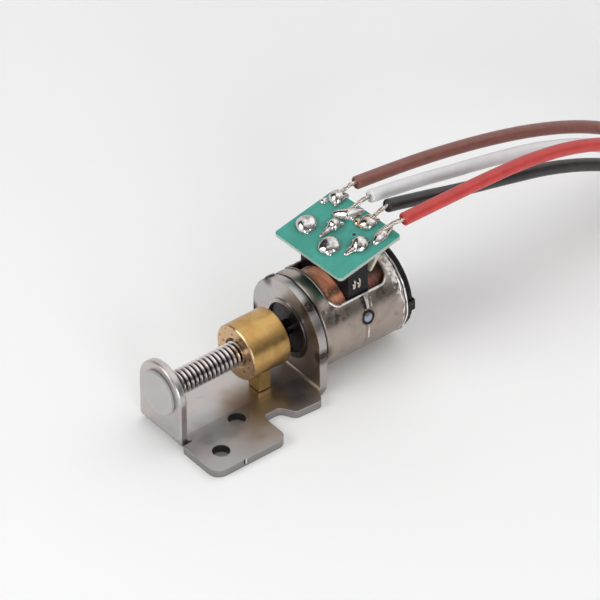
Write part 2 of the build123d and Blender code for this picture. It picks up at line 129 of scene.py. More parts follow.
FLANGE_R = span("bracket")[1].z - AXIS_Z
NUGGET_ANGLE, NUGGET_Y, NUGGET_SIZE = 76.5, SEAM_Y + 0.17, 0.62
NUGGETS = [on_can(side * NUGGET_ANGLE, NUGGET_Y) for side in (1, -1)]
FLANGE_SPOTS = [(angle, CAN_FRONT - 0.33) for angle in (36, 98, -36, -98)]  # degrees and y of its welds
PINS = [(-2.30, 9.55), (0.73, 9.31), (2.29, 10.99), (-0.69, 10.87)]  # x, y of their solder beads
BEADS = [to_board(*pin) for pin in PINS]
VIA = on_board(*to_board(1.09, 11.43))
FLUX = on_board(*to_board(0.7, 12.5), 0.2)


# ---------------------------------------------------------------- materials
class Finish:
    """A Principled material with nodes that read the object's own millimetres."""

    def __init__(self, name, colour, rough=0.5, metal=0.0, **constants):
        self.mat = bpy.data.materials.new(name)
        self.mat.use_nodes = True
        self.tree = self.mat.node_tree
        self.shader = self.tree.nodes["Principled BSDF"]
        self.set("Base Color", (*colour, 1))
        self.set("Roughness", rough)
        self.set("Metallic", metal)
        for key, value in constants.items():
            self.set(key.replace("_", " "), value)
        coordinates = self.tree.nodes.new("ShaderNodeTexCoord")
        scale = self.node("ShaderNodeVectorMath", operation="SCALE")
        self.tree.links.new(coordinates.outputs["Object"], scale.inputs[0])
        scale.inputs["Scale"].default_value = 1 / MM
        self.place = scale.outputs[0]

    def set(self, socket, value):
        self.shader.inputs[socket].default_value = value

    def node(self, kind, **settings):
        made = self.tree.nodes.new(kind)
        for key, value in settings.items():
            setattr(made, key, value)
        return made

    def plug(self, value, socket):
        """Joins an output to a socket, or sets the socket to a number or colour."""
        if isinstance(value, bpy.types.NodeSocket):
            self.tree.links.new(value, socket)
        else:
            socket.default_value = value

    def to(self, socket, value):
        self.plug(value, self.shader.inputs[socket])

    def maths(self, operation, a, b=0.0, c=0.0):
        made = self.node("ShaderNodeMath", operation=operation)
        for value, socket in zip((a, b, c), made.inputs):
            self.plug(value, socket)
        return made.outputs[0]

    def stretched(self, factors, offset):
        made = self.node("ShaderNodeMapping")
        self.plug(self.place, made.inputs["Vector"])
        made.inputs["Scale"].default_value = factors
        made.inputs["Location"].default_value = offset
        return made.outputs[0]

    def noise(self, size, detail=3.0, stretch=(1, 1, 1), rough=0.55, twist=0.0, seed=0.0):
        """Noise whose features are about size millimetres, as a value from 0 to 1."""
        made = self.node("ShaderNodeTexNoise", noise_dimensions="3D")
        self.plug(self.stretched(stretch, (seed, 1.7 * seed, -seed)), made.inputs["Vector"])
        made.inputs["Scale"].default_value = 1 / size
        made.inputs["Detail"].default_value = detail
        made.inputs["Roughness"].default_value = rough
        made.inputs["Distortion"].default_value = twist
        return made.outputs[0]

    def cells(self, size, seed):
        """Distance from the nearest of scattered points, about size millimetres apart, as a share of size."""
        made = self.node("ShaderNodeTexVoronoi", feature="F1")
        self.plug(self.stretched((1, 1, 1), (seed, seed, seed)), made.inputs["Vector"])
        made.inputs["Scale"].default_value = 1 / size
        return made.outputs["Distance"]

    def step(self, value, low, high, out_low=0.0, out_high=1.0):
        """value from low to high, smoothly, as out_low to out_high."""
        made = self.node("ShaderNodeMapRange", interpolation_type="SMOOTHSTEP")
        for number, socket in zip((value, low, high, out_low, out_high), made.inputs):
            self.plug(number, socket)
        return made.outputs[0]

    def mix(self, factor, a, b):
        """Colour a where factor is 0, and b where it is 1."""
        made = self.node("ShaderNodeMix", data_type="RGBA", blend_type="MIX")
        self.plug(factor, made.inputs[0])
        for value, socket in ((a, made.inputs[6]), (b, made.inputs[7])):
            self.plug(value if isinstance(value, bpy.types.NodeSocket) else (*value, 1), socket)
        return made.outputs[2]

    def over(self, tint, mask, share, colour):
        """tint, with a share of colour laid over it where mask is 1."""
        return self.mix(self.maths("MULTIPLY", mask, share), tint, colour)

    def part(self, which):
        """One of the place's three numbers, in millimetres."""
        made = self.node("ShaderNodeSeparateXYZ")
        self.plug(self.place, made.inputs[0])
        return made.outputs["XYZ".index(which)]

    def reach(self):
        """Distance from the screw's axis."""
        x = self.part("X")
        z = self.maths("SUBTRACT", self.part("Z"), AXIS_Z)
        squares = self.maths("MULTIPLY", x, x), self.maths("MULTIPLY", z, z)
        return self.maths("SQRT", self.maths("ADD", *squares))

    def near(self, point, inside, outside):
        """1 within inside of a point, falling to 0 at outside."""
        made = self.node("ShaderNodeVectorMath", operation="DISTANCE")
        self.plug(self.place, made.inputs[0])
        made.inputs[1].default_value = point
        return self.step(made.outputs["Value"], inside, outside, 1.0, 0.0)

    def bump(self, height, depth):
        """Raises the surface by height, 0 to 1, times depth in millimetres."""
        made = self.node("ShaderNodeBump")
        made.inputs["Distance"].default_value = depth * MM
        made.inputs["Strength"].default_value = 1.0
        self.plug(height, made.inputs["Height"])
        before = self.shader.inputs["Normal"]
        if before.is_linked:
            self.tree.links.new(before.links[0].from_socket, made.inputs["Normal"])
        self.tree.links.new(made.outputs[0], before)


def sheet_nickel():
    """Nickel-plated sheet: satin, with a faint rolled grain along Y, clouds, specks, dark weld marks, and painted
    shade in the mounting holes and on one side of the flange hole's rim.
    """
    f = Finish("bracket_steel", (0.62, 0.58, 0.56), rough=0.3, metal=1.0)
    clouds = f.noise(2.6, detail=1)
    tint = f.mix(f.step(clouds, 0.35, 0.65), (0.56, 0.505, 0.49), (0.51, 0.50, 0.495))
    film = f.step(f.noise(1.9, detail=1, seed=3), 0.50, 0.80)
    tint = f.over(tint, film, 0.25, (0.30, 0.25, 0.23))
    specks = f.step(f.cells(1.3, seed=2), 0.025, 0.055, 1.0, 0.0)
    tint = f.over(tint, specks, 0.55, (0.14, 0.12, 0.11))
    smears = f.step(f.noise(0.55, detail=3, stretch=(1, 0.4, 1), seed=13), 0.56, 0.74)
    tint = f.over(tint, smears, 0.22, (0.26, 0.22, 0.21))
    low_down = f.step(f.part("Z"), SHEET - 0.10, SHEET - 0.04, 1.0, 0.0)
    tint = f.over(tint, low_down, 0.8, (0.24, 0.225, 0.215))
    flange_edge = f.step(f.reach(), FLANGE_R - 0.10, FLANGE_R - 0.03)
    tint = f.over(tint, flange_edge, 0.4, (0.30, 0.29, 0.285))
    for spot in FLANGE_SPOTS:
        tint = f.over(tint, f.near(on_can(*spot, FLANGE_R), 0.42, 0.95), 0.88, (0.12, 0.09, 0.08))
    # painted shade: a dark band on the +X side of the flange hole's pressed rim, where shade falls
    rim = f.maths("MULTIPLY", f.step(f.reach(), 2.52, 2.62, 1.0, 0.0), f.step(f.part("X"), 0.2, 0.9))
    rim = f.maths("MULTIPLY", rim, f.step(f.part("Y"), 5.0, 5.3))
    tint = f.over(tint, rim, 0.85, (0.06, 0.055, 0.05))
    # painted shade: the mounting holes' walls darkened below the top face
    inside = f.step(f.part("Z"), SHEET - 0.15, SHEET - 0.02, 1.0, 0.0)
    for x, y in HOLES:
        hole_wall_shade = f.maths("MULTIPLY", f.near((x, y, SHEET / 2), HOLE_R + 0.10, HOLE_R + 0.16), inside)
        tint = f.over(tint, hole_wall_shade, 0.75, (0.07, 0.06, 0.055))
    f.to("Base Color", tint)
    f.to("Roughness", f.step(f.noise(1.3, detail=1, seed=7), 0.3, 0.75, 0.285, 0.37))
    f.bump(f.noise(0.05, detail=1, stretch=(1, 0.05, 1)), 0.0006)
    f.bump(f.noise(1.6, detail=1, seed=5), 0.014)
    return f.mat


def drawn_nickel():
    """Nickel-plated can: warm grey, slight waves, stains, heat tint round the welds, a painted shade line behind
    the flange, and a scuffed rear edge with a painted highlight on it.
    """
    f = Finish("can_steel", (0.60, 0.55, 0.50), rough=0.24, metal=1.0)
    clouds = f.noise(1.5, detail=3, twist=1.0, seed=2)
    tint = f.mix(f.step(clouds, 0.35, 0.7), (0.41, 0.345, 0.30), (0.355, 0.30, 0.265))
    stain = f.step(f.noise(0.9, detail=3, seed=9), 0.55, 0.72)
    tint = f.over(tint, stain, 0.4, (0.16, 0.125, 0.11))
    for spot in NUGGETS:
        tint = f.over(tint, f.near(spot, 0.45, 1.05), 0.55, (0.26, 0.17, 0.12))
        tint = f.mix(f.near(spot, 0.55, 0.66), tint, (0.035, 0.025, 0.025))
        tint = f.mix(f.near(spot, 0.30, 0.42), tint, (0.36, 0.40, 0.48))
    for spot in FLANGE_SPOTS:
        tint = f.over(tint, f.near(on_can(*spot), 0.55, 1.25), 0.85, (0.10, 0.07, 0.06))
    # painted shade: a dark line round the can just behind the flange, for the gap between them
    joint = f.step(f.part("Y"), CAN_FRONT + 0.16, CAN_FRONT + 0.26, 0.9, 0.0)
    tint = f.mix(joint, tint, (0.05, 0.04, 0.04))
    blots = f.step(f.noise(0.5, detail=3, seed=15), 0.44, 0.60)
    for side in (1, -1):
        for angle, y, size in ((55, 8.1, 1.5), (58, 12.4, 1.1)):
            here = f.maths("MULTIPLY", f.near(on_can(side * angle, y), 0.3 * size, size), blots)
            tint = f.over(tint, here, 0.75, (0.09, 0.08, 0.075))
    # scuffs, and a painted highlight: the rear edge near-white and rougher in a patch about 44 degrees round
    ring = f.step(f.part("Y"), CAN_BACK - 0.98, CAN_BACK - 0.84)
    scuffs_and_highlight = f.maths("MULTIPLY", f.step(f.noise(0.34, detail=3, seed=11), 0.40, 0.56), ring)
    scuffs_and_highlight = f.maths("MULTIPLY", scuffs_and_highlight, f.near(on_can(44, CAN_BACK - 0.4), 1.1, 2.6))
    tint = f.over(tint, scuffs_and_highlight, 0.9, (0.92, 0.90, 0.87))
    f.to("Base Color", tint)
    rough = f.step(f.noise(0.9, detail=2, seed=4), 0.3, 0.75, 0.28, 0.34)
    f.to("Roughness", f.maths("MULTIPLY_ADD", scuffs_and_highlight, 0.3, rough))
    f.bump(f.noise(0.06, detail=1, stretch=(0.12, 1, 0.12)), 0.0007)
    f.bump(f.noise(0.75, detail=1, seed=6), 0.016)
    return f.mat


def screw_steel():
    """Rolled thread: bright crests, and painted shade darkening the roots."""
    f = Finish("screw_steel", (0.55, 0.52, 0.50), rough=0.22, metal=1.0)
    crest = f.step(f.reach(), 0.79, 0.95)
    # painted shade: the thread's roots near black, the crests bright
    f.to("Base Color", f.mix(crest, (0.07, 0.06, 0.06), (0.78, 0.73, 0.72)))
    f.to("Roughness", f.step(f.noise(0.3, detail=2), 0.3, 0.7, 0.17, 0.25))
    f.bump(f.noise(0.12, detail=1), 0.004)
    return f.mat


def brass():
    """Turned brass: fine tool lines, a brown film in places, dark pits and a scraped front face."""
    f = Finish("brass", (0.60, 0.39, 0.16), rough=0.30, metal=1.0)
    film = f.step(f.noise(1.3, detail=3, twist=0.8), 0.38, 0.68)
    colour = f.mix(film, (0.56, 0.35, 0.13), (0.48, 0.28, 0.095))
    face = f.step(f.part("Y"), 0.90, 0.94, 1.0, 0.0)
    colour = f.over(colour, face, 0.8, (0.70, 0.48, 0.29))
    marks = f.maths("MULTIPLY", f.step(f.cells(0.50, seed=4), 0.18, 0.30, 1.0, 0.0), face)
    colour = f.over(colour, marks, 0.8, (0.22, 0.09, 0.04))
    pits = f.step(f.cells(1.1, seed=6), 0.02, 0.045, 1.0, 0.0)
    colour = f.over(colour, pits, 0.75, (0.16, 0.08, 0.03))
    f.to("Base Color", colour)
    f.to("Roughness", f.step(f.noise(0.5, detail=2, seed=3), 0.3, 0.7, 0.285, 0.36))
    f.bump(f.noise(0.05, detail=1, stretch=(0.04, 1, 0.04)), 0.0006)
    f.bump(f.maths("MULTIPLY", f.noise(0.22, detail=2, seed=2, stretch=(1, 0.2, 1)), face), 0.022)
    f.bump(f.noise(0.9, detail=1, seed=8), 0.010)
    return f.mat


def white_plastic():
    """Natural acetal, a little translucent and cloudy."""
    f = Finish("white_plastic", (0.80, 0.79, 0.78), rough=0.36, Subsurface_Weight=0.3)
    f.set("Subsurface Scale", 0.0006)
    f.set("Subsurface Radius", (1.0, 0.9, 0.8))
    f.to("Base Color", f.mix(f.noise(1.2, detail=3), (0.41, 0.40, 0.395), (0.365, 0.36, 0.355)))
    f.bump(f.noise(0.2, detail=2), 0.004)
    return f.mat


def black_plastic():
    """Moulded black, slightly dusty."""
    f = Finish("black_plastic", (0.02, 0.02, 0.024), rough=0.40, Specular_IOR_Level=0.2)
    dust = f.step(f.noise(0.4, detail=4, rough=0.7), 0.58, 0.80)
    f.to("Base Color", f.over((0.006, 0.006, 0.009), dust, 0.4, (0.026, 0.024, 0.026)))
    f.to("Roughness", f.step(f.noise(0.6, detail=2, seed=3), 0.3, 0.7, 0.30, 0.46))
    f.bump(f.noise(0.08, detail=2), 0.003)
    return f.mat


def enamelled_copper(name="enamelled_copper", bright=(1.0, 0.47, 0.29), dull=(0.86, 0.27, 0.14)):
    """Red enamel over copper wire, uneven from turn to turn, with a dark band of painted reflection: the can's
    shoulder mirrored in the enamel.
    """
    f = Finish(name, bright, rough=0.36, metal=0.0, Coat_Weight=0.5, Coat_Roughness=0.15)
    turns = f.noise(0.13, detail=1, stretch=(0.12, 1, 0.12))
    tint = f.mix(f.step(turns, 0.35, 0.65), dull, bright)
    # painted reflection: a dark band at these heights, the can's shoulder mirrored in the enamel
    can_reflection_band = f.maths("MULTIPLY", f.step(f.part("Z"), 6.80, 7.05), f.step(f.part("Z"), 7.15, 7.45, 0.85, 0.0))
    can_reflection_band = f.maths("MULTIPLY", can_reflection_band, f.step(f.noise(0.5, detail=2, seed=4), 0.2, 0.5))
    f.to("Base Color", f.mix(can_reflection_band, tint, (0.06, 0.04, 0.025)))
    f.bump(f.noise(0.25, detail=1, stretch=(0.4, 1, 0.4)), 0.006)
    return f.mat


def magnet():
    """Sintered magnet, dark and matt."""
    f = Finish("magnet", (0.05, 0.05, 0.055), rough=0.6, metal=0.4)
    f.to("Base Color", f.mix(f.noise(0.1, detail=5), (0.035, 0.035, 0.04), (0.08, 0.08, 0.085)))
    f.bump(f.noise(0.06, detail=4), 0.008)
    return f.mat


def oiled_bearing():
    """Oily sintered metal, nearly black, with a few glints."""
    f = Finish("oiled_bearing", (0.05, 0.042, 0.035), rough=0.28, metal=0.8)
    f.to("Base Color", f.mix(f.noise(0.3, detail=3), (0.012, 0.011, 0.011), (0.05, 0.045, 0.045)))
    f.bump(f.noise(0.22, detail=2), 0.02)
    return f.mat


def green_board():
    """Green solder mask, with painted shade round the beads, a via, and pale laminate where the board is cut."""
    f = Finish("green_board", (0.03, 0.36, 0.27), rough=0.25, Coat_Weight=0.4, Coat_Roughness=0.1)
    clouds = f.noise(2.6, detail=2, twist=0.5)
    mask = f.mix(f.step(clouds, 0.35, 0.7), (0.016, 0.28, 0.215), (0.027, 0.37, 0.295))
    # painted shade: the mask darkened round each bead
    for pad in BEADS:
        mask = f.over(mask, f.near(on_board(*pad), 0.80, 1.25), 0.55, (0.008, 0.13, 0.105))
    mask = f.mix(f.near(VIA, 0.24, 0.34), mask, (0.03, 0.38, 0.31))
    mask = f.mix(f.near(VIA, 0.13, 0.20), mask, (0.004, 0.008, 0.03))
    facing = f.node("ShaderNodeNewGeometry")
    upward = f.node("ShaderNodeVectorMath", operation="DOT_PRODUCT")
    f.plug(facing.outputs["Normal"], upward.inputs[0])
    upward.inputs[1].default_value = BOARD_N
    flat = f.step(f.maths("ABSOLUTE", upward.outputs["Value"]), 0.93, 0.99)
    weave = f.mix(f.noise(0.08, detail=2), (0.26, 0.36, 0.30), (0.46, 0.50, 0.44))
    f.to("Base Color", f.mix(flat, weave, mask))
    f.bump(f.noise(0.6, detail=2), 0.008)
    return f.mat


def solder():
    """Bright solder, dull and grey in places, with amber flux by the black lead's joint."""
    f = Finish("solder", (0.86, 0.86, 0.85), rough=0.12, metal=1.0)
    tint = f.mix(f.step(f.noise(0.5, detail=3), 0.4, 0.7), (0.74, 0.72, 0.70), (0.40, 0.375, 0.35))
    flux = f.maths("MULTIPLY", f.near(FLUX, 0.3, 1.0), f.step(f.noise(0.3, detail=2, seed=5), 0.42, 0.58))
    f.to("Base Color", f.over(tint, flux, 0.8, (0.44, 0.27, 0.08)))
    f.to("Roughness", f.step(f.noise(0.3, detail=2, seed=3), 0.35, 0.75, 0.13, 0.26))
    f.bump(f.noise(0.6, detail=1, seed=6), 0.035)
    f.bump(f.noise(0.22, detail=1, seed=1), 0.008)
    return f.mat


def worn_edge(name="worn_edge", shade_above_height=None):
    """Sheared and rubbed sheet edges: pale and rough, with painted shade above a height if one is given."""
    f = Finish(name, (0.90, 0.88, 0.85), rough=0.4, metal=0.9)
    tint = f.mix(f.step(f.noise(0.5, detail=2), 0.40, 0.68), (0.97, 0.95, 0.93), (0.42, 0.37, 0.34))
    if shade_above_height:
        # painted shade: the edge darkened above the given height
        painted_shade_high_up = f.step(f.part("Z"), shade_above_height - 0.2, shade_above_height + 0.2, 0, 0.85)
        tint = f.mix(painted_shade_high_up, tint, (0.10, 0.095, 0.09))
    f.to("Base Color", tint)
    f.bump(f.noise(0.2, detail=2), 0.01)
    return f.mat


def dark_steel_and_gap_shade():
    """Dark steel on the crimp tabs, and painted shade in the seams' gaps and the shear mark's gap."""
    f = Finish("dark_steel_and_gap_shade", (0.06, 0.05, 0.05), rough=0.5, metal=0.5, Specular_IOR_Level=0.3)
    scale = f.step(f.noise(0.35, detail=2), 0.55, 0.75)
    f.to("Base Color", f.mix(scale, (0.02, 0.018, 0.018), (0.12, 0.105, 0.10)))
    f.bump(f.noise(0.2, detail=2), 0.02)
    return f.mat


def cream_tape():
    """Aged insulating tape."""
    f = Finish("cream_tape", (0.60, 0.56, 0.46), rough=0.5)
    f.to("Base Color", f.mix(f.noise(0.5, detail=3), (0.62, 0.58, 0.48), (0.50, 0.45, 0.36)))
    f.bump(f.noise(0.3, detail=2), 0.01)
    return f.mat


def tinned_copper():
    """Tin over copper, with the copper showing through."""
    f = Finish("tinned_copper", (0.80, 0.78, 0.74), rough=0.24, metal=1.0)
    worn = f.step(f.noise(0.2, detail=3), 0.4, 0.7)
    f.to("Base Color", f.mix(worn, (0.62, 0.58, 0.54), (0.42, 0.33, 0.26)))
    f.bump(f.noise(0.08, detail=3), 0.006)
    return f.mat


def vinyl(name, colour, dark, rough=0.38):
    """Flexible wire insulation, a little uneven in colour and gloss."""
    f = Finish(name, colour, rough=rough, Coat_Weight=0.15, Coat_Roughness=0.25)
    f.to("Base Color", f.mix(f.step(f.noise(0.9, detail=4), 0.35, 0.7), colour, dark))
    f.to("Roughness", f.step(f.noise(0.3, detail=3, seed=3), 0.3, 0.7, rough - 0.06, rough + 0.08))
    f.bump(f.noise(0.25, detail=2), 0.008)
    return f.mat


FINISHES = {
    "bracket_steel": sheet_nickel(),
    "can_steel": drawn_nickel(),
    "screw_steel": screw_steel(),
    "brass": brass(),
    "white_plastic": white_plastic(),
    "black_plastic": black_plastic(),
    "enamelled_copper": enamelled_copper(),
    "magnet": magnet(),
    "oiled_bearing": oiled_bearing(),
    "green_board": green_board(),
    "solder": solder(),
    "tinned_copper": tinned_copper(),
    "brown_insulation": vinyl("brown_insulation", (0.245, 0.085, 0.063), (0.205, 0.068, 0.053)),
    "white_insulation": vinyl("white_insulation", (0.79, 0.78, 0.79), (0.74, 0.73, 0.745)),
    "black_insulation": vinyl("black_insulation", (0.014, 0.013, 0.014), (0.024, 0.022, 0.023)),
    "red_insulation": vinyl("red_insulation", (0.55, 0.045, 0.04), (0.48, 0.037, 0.035)),
}
# painted shade: a darker copy of the enamel for the rear winding, which sits in the board's shade
SHADED_COPY_WINDING = enamelled_copper("shaded_copy_enamel", (0.32, 0.085, 0.05), (0.14, 0.035, 0.02))
# the window's rim has painted shade on its upper stretches
WORN_EDGE, WINDOW_EDGE = worn_edge(), worn_edge("window_edge", shade_above_height=7.25)
# dark steel for the crimp tabs, and painted shade for the gaps
DARK_STEEL_AND_GAP_SHADE = dark_steel_and_gap_shade()
SLOT_OF = {part["node"]: part["material_slot"] for part in frame["record"]["subparts"]}


# ---------------------------------------------------------------- shapes
def piece(name, points, faces, slot, body="motor", crease=35, stands_for=(), finish=None):
    """A mesh from points in millimetres, riding on a body."""
    mesh = bpy.data.meshes.new(name)
    mesh.from_pydata([Vector(p) * MM for p in points], [], faces)
    mesh.validate()
    mesh.materials.append(finish or FINISHES[slot])
    mesh.shade_smooth()
    mesh.set_sharp_from_angle(angle=radians(crease))
    made = bpy.data.objects.new(name, mesh)
    bpy.context.scene.collection.objects.link(made)
    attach(made, body)
    if stands_for:
        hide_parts(*stands_for)
    return made


def merged(shapes):
    """Several (points, faces) shapes as one."""
    points, faces = [], []
    for more_points, more_faces in shapes:
        start = len(points)
        points += more_points
        faces += [tuple(i + start for i in face) for face in more_faces]
    return points, faces


def ring_faces(rings, around, looped=False):
    """Quads between rings of points, listed ring by ring, that end flat or meet the first ring again."""
    faces = []
    for i in range(rings if looped else rings - 1):
        this, following = i * around, (i + 1) % rings * around
        for j in range(around):
            k = (j + 1) % around
            faces.append((this + j, this + k, following + k, following + j))
    if not looped:
        faces.append(tuple(reversed(range(around))))
        faces.append(tuple((rings - 1) * around + j for j in range(around)))
    return faces


def lathe(profile, around=96, wave=None, hollow=False):
    """A solid of revolution about the screw's axis from (y, radius) pairs.

    wave(angle, y, radius) may return another (y, radius). A hollow one's profile closes on itself.
    """
    points = []
    for y, radius in profile:
        for j in range(around):
            angle = 360 * j / around
            at_y, at_radius = wave(angle, y, radius) if wave else (y, radius)
            points.append(on_can(angle, at_y, at_radius))
    return points, ring_faces(len(profile), around, hollow)


def frames(path, closed=False):
    """For each point of a path, two directions across it that turn as little as possible."""
    count = len(path)
    across = []
    side = None
    for i, point in enumerate(path):
        ahead = path[(i + 1) % count] if closed or i < count - 1 else point
        behind = path[i - 1] if closed or i > 0 else point
        along = (ahead - behind).normalized()
        if side is None:
            side = along.orthogonal()
        side = (side - along * side.dot(along)).normalized()
        across.append((side, along.cross(side)))
    return across


def tube(path, radius, sides=10, closed=False):
    """A round bar along a path."""
    points = []
    for point, (side, other) in zip(path, frames(path, closed)):
        for j in range(sides):
            turn = tau * j / sides
            points.append(point + (side * cos(turn) + other * sin(turn)) * radius)
    return points, ring_faces(len(path), sides, closed)


def rounded(points, steps=10):
    """A smooth path through points."""
    points = [Vector(p) for p in points]
    path = []
    for i in range(len(points) - 1):
        a, b = points[i], points[i + 1]
        before = points[max(i - 1, 0)]
        after = points[min(i + 2, len(points) - 1)]
        for k in range(steps):
            t = k / steps
            square = (2 * before - 5 * a + 4 * b - after) * t**2
            cube = (3 * a - before - 3 * b + after) * t**3
            path.append(0.5 * (2 * a + (b - before) * t + square + cube))
    return path + [points[-1]]


def patch(angle, y, size, heights, around=40, radius=CAN_R):
    """A round patch on a surface that far from the axis: heights are (share of size, height over it)."""
    points = []
    for share, height in heights:
        for j in range(around):
            turn = tau * j / around
            wobble = 1 + 0.05 * sin(3 * turn + angle) + 0.04 * sin(5 * turn)
            reach = share * size * wobble
            place = angle + degrees(reach * cos(turn) / radius), y + reach * sin(turn), radius + height
            points.append(on_can(*place))
    return points, ring_faces(len(heights), around)


def bead(at, size, height, tails=(), lean=(0, 0), seed=0.0):
    """Solder about at, on the board's own axes, with tails given as (direction, length, half width)."""
    rings, around = 18, 120

    def rise(reach, turn):
        """Height at a distance and direction from the middle, as a share, and 0 outside the outline."""
        wobble = 1 + 0.12 * noise.noise(Vector((0.9 * cos(turn), 0.9 * sin(turn), seed)))
        best = max(0.0, 1 - (reach / (size * wobble)) ** 2.3) ** 0.5
        for toward, length, width in tails:
            along = reach * cos(turn - radians(toward))
            left = 1 - along / (size + length)
            if along > 0 and left > 0:
                taper = width * left**0.4
                over = max(0.0, 1 - (reach * sin(turn - radians(toward)) / taper) ** 2) ** 0.5
                best = max(best, over * taper / size * 1.15)
        return best

    longest = size * 1.15 + max([length for _, length, _ in tails], default=0)
    outline = []
    for j in range(around):
        turn = tau * j / around
        reach = longest
        while reach > 0.05 and rise(reach, turn) <= 0:
            reach -= 0.01
        outline.append(reach)
    points = []
    for i in range(rings + 1):
        share = max(cos(pi / 2 * i / rings), 0.0005)
        for j in range(around):
            turn = tau * j / around
            reach = share * outline[j]
            top = rise(reach, turn)
            u = at[0] + reach * cos(turn) + lean[0] * top
            v = at[1] + reach * sin(turn) + lean[1] * top
            lumps = 1 + 0.16 * noise.noise(Vector((1.3 * u, 1.3 * v, seed + 3)))
            points.append(on_board(u, v, height * top * lumps if i else -0.02))
    return points, ring_faces(rings + 1, around)


# ---------------------------------------------------------------- leads
WIRE_D = 1.05
FLOOR = 0.55  # a lead's middle where it lies on the floor
ROUTES = {  # from the insulation's end at the board to the stripped tip on the floor
    "brown": [
        (-2.45, 14.5, 12.2),
        (-2.42, 18.2, 11.78),
        (-2.36, 22.4, 11.15),
        (-2.28, 27.0, 10.2),
        (-2.22, 31.4, 8.95),
        (-2.25, 35.8, 7.15),
        (-2.35, 39.8, 4.8),
        (-2.5, 43.7, 2.2),
        (-2.65, 47.9, 0.7),
        (-2.6, 52.4, FLOOR),
        (-2.3, 57.0, FLOOR),
        (-2.15, 61.8, FLOOR),
        (-2.5, 66.4, FLOOR),
        (-3.1, 70.6, FLOOR),
    ],
    "white": [
        (-0.5, 14.3, 12.2),
        (-0.52, 17.8, 11.62),
        (-0.56, 22.0, 10.62),
        (-0.6, 26.4, 9.66),
        (-0.62, 30.8, 8.5),
        (-0.6, 35.1, 6.75),
        (-0.52, 39.2, 4.35),
        (-0.45, 43.2, 1.9),
        (-0.5, 47.4, 0.65),
        (-0.7, 52.0, FLOOR),
        (-0.8, 56.8, FLOOR),
        (-0.6, 61.6, FLOOR),
        (-0.5, 66.2, FLOOR),
        (-0.8, 70.4, FLOOR),
    ],
    "black": [
        (1.33, 14.5, 12.35),
        (1.36, 17.7, 11.5),
        (1.4, 21.6, 10.35),
        (1.47, 25.8, 9.35),
        (1.5, 30.2, 8.2),
        (1.5, 34.4, 6.45),
        (1.4, 38.4, 4.1),
        (1.25, 42.4, 1.8),
        (1.2, 46.6, 0.65),
        (1.3, 51.2, FLOOR),
        (1.35, 56.0, FLOOR),
        (1.15, 60.8, FLOOR),
        (1.1, 65.4, FLOOR),
        (1.5, 69.6, FLOOR),
    ],
    "red": [
        (3.18, 14.6, 12.15),
        (3.1, 18.2, 12.0),
        (2.9, 22.6, 11.7),
        (2.65, 27.2, 11.2),
        (2.6, 31.8, 10.2),
        (2.75, 36.2, 8.35),
        (3.0, 40.2, 5.8),
        (3.15, 43.9, 2.9),
        (3.1, 47.9, 0.9),
        (2.9, 52.4, FLOOR),
        (2.95, 57.2, FLOOR),
        (3.3, 61.9, FLOOR),
        (3.4, 66.4, FLOOR),
        (3.1, 70.5, FLOOR),
    ],
}


def add_lead(colour):
    """The insulated length of one lead, along its route."""
    curve = bpy.data.curves.new(f"{colour}_insulation_run", "CURVE")
    curve.dimensions = "3D"
    spline = curve.splines.new("NURBS")
    spline.points.add(len(ROUTES[colour]) - 1)
    for point, place in zip(spline.points, ROUTES[colour]):
        point.co = (*(Vector(place) * MM), 1)
    spline.order_u = 3
    spline.use_endpoint_u = True
    spline.resolution_u = 24
    curve.bevel_depth = WIRE_D / 2 * MM
    curve.bevel_resolution = 8
    curve.use_fill_caps = True
    curve.materials.append(FINISHES[f"{colour}_insulation"])
    lead = bpy.data.objects.new(f"{colour}_insulation_run", curve)
    bpy.context.scene.collection.objects.link(lead)
    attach(lead, "motor")
    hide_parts(f"{colour}_lead")


for wire in ROUTES:
    add_lead(wire)


# ---------------------------------------------------------------- bush, windings and cover
def add_bush():
    """The bush's rounded head outside the ear, and its stem in it."""
    low, high = span("pivot_bush")
    head_r = (high.x - low.x) / 2
    ear, stem_r, bore = span("bracket")[0].y, 1.5, 0.53
    crown, edge = 0.10, 0.16
    face = head_r - edge
    profile = [(low.y + crown * (k / 8) ** 2, max(face * k / 8, 0.01)) for k in range(9)]
    for turn in (20, 40, 60, 80, 90):
        profile.append((low.y + crown + edge * (1 - cos(radians(turn))), face + edge * sin(radians(turn))))
    profile += [(ear - 0.03, head_r), (ear - 0.002, head_r - 0.04), (ear - 0.002, stem_r)]
    profile += [(high.y - 0.05, stem_r), (high.y, stem_r - 0.05), (high.y, bore)]
    profile += [(high.y - 0.8, bore), (high.y - 0.8, 0.01)]
    piece("pivot_bush_head", *lathe(profile), "white_plastic", stands_for=["pivot_bush"])


def add_winding(name, node, finish):
    """Rows of enamelled wire, laid not quite evenly."""
    low, high = span(node)
    radius, inside = (high.x - low.x) / 2, 2.2
    turns, each = 23, 6  # turns side by side, and points on each
    length = high.y - low.y

    def uneven(angle, y, r):
        if r < radius - 0.4:
            return y, r
        slow = noise.noise(Vector((angle / 60, y * 1.5, radius)))
        return y, r - 0.02 - 0.03 * abs(slow)

    profile = [(low.y, inside), (low.y, radius - 0.22)]
    for k in range(turns * each + 1):
        share = k / (turns * each)
        shoulder = 0.14 * max(0.0, 1 - min(share, 1 - share) * 9) ** 2
        ridge = 0.022 * abs(sin(pi * k / each)) ** 0.7
        profile.append((low.y + 0.02 + (length - 0.04) * share, radius - 0.03 + ridge - shoulder))
    profile += [(high.y, radius - 0.22), (high.y, inside)]
    shape = lathe(profile, 120, uneven, hollow=True)
    piece(name, *shape, "enamelled_copper", stands_for=[node], finish=finish, crease=75)


